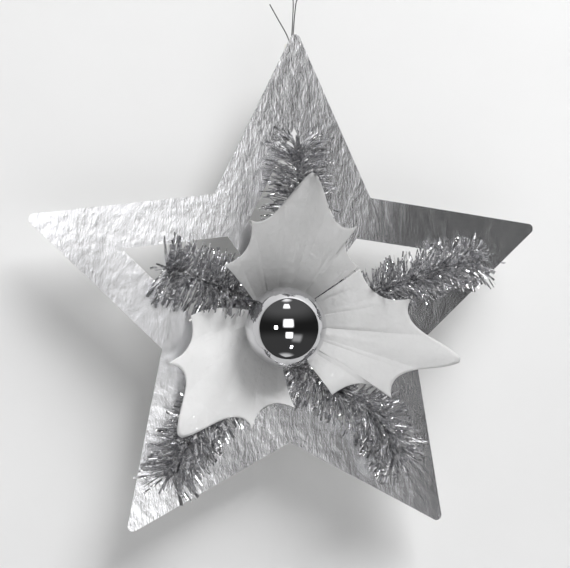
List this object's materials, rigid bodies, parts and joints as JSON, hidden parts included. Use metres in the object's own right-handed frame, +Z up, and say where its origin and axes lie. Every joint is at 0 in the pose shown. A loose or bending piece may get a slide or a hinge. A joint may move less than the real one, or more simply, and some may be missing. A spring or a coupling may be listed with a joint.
{
  "type": "hanging foil star decoration",
  "caption": "Foil-faced card star with a window in each arm, tinsel sprigs, pleated plastic leaves and a mirror bauble, hung by a thread loop as a festive wall decoration.",
  "frame": {"origin": "crown of the thread loop that the decoration hangs from", "axes": "+X to the right and +Z up as the star hangs, its front faces -Y"},
  "size_m": [0.3974, 0.0721, 0.413],
  "materials": {
    "foil_card": "embossed mirror-silver foil on the front, plain pale board at the back and cut edges",
    "leaf_sheet": "white pearly glossy sheet, pressed with pleats",
    "bauble_mirror": "bright silver mirror",
    "cap_metal": "bright",
    "hanger_wire": "bright drawn wire",
    "core_wire": "twisted drawn wire",
    "tinsel_foil": "bright metallised film cut into narrow strips",
    "hot_melt": "milky translucent hot-melt glue",
    "thread": "dark grey sewing thread"
  },
  "bodies": {
    "root": {"star_card": "foil_card", "leaf_top": "leaf_sheet", "leaf_right": "leaf_sheet", "leaf_low": "leaf_sheet", "bauble": "bauble_mirror", "bauble_cap": "cap_metal", "bauble_hanger": "hanger_wire", "hub_glue_front": "hot_melt", "hub_glue_back": "hot_melt", "thread_glue": "hot_melt", "hanging_thread": "thread", "thread_tail": "thread", "tinsel_core_top": "core_wire", "tinsel_fringe_top": "tinsel_foil", "tinsel_core_left": "core_wire", "tinsel_fringe_left": "tinsel_foil", "tinsel_core_right": "core_wire", "tinsel_fringe_right": "tinsel_foil", "tinsel_core_low_right": "core_wire", "tinsel_fringe_low_right": "tinsel_foil", "tinsel_core_low_left": "core_wire", "tinsel_fringe_low_left": "tinsel_foil"}
  },
  "joints": []
}
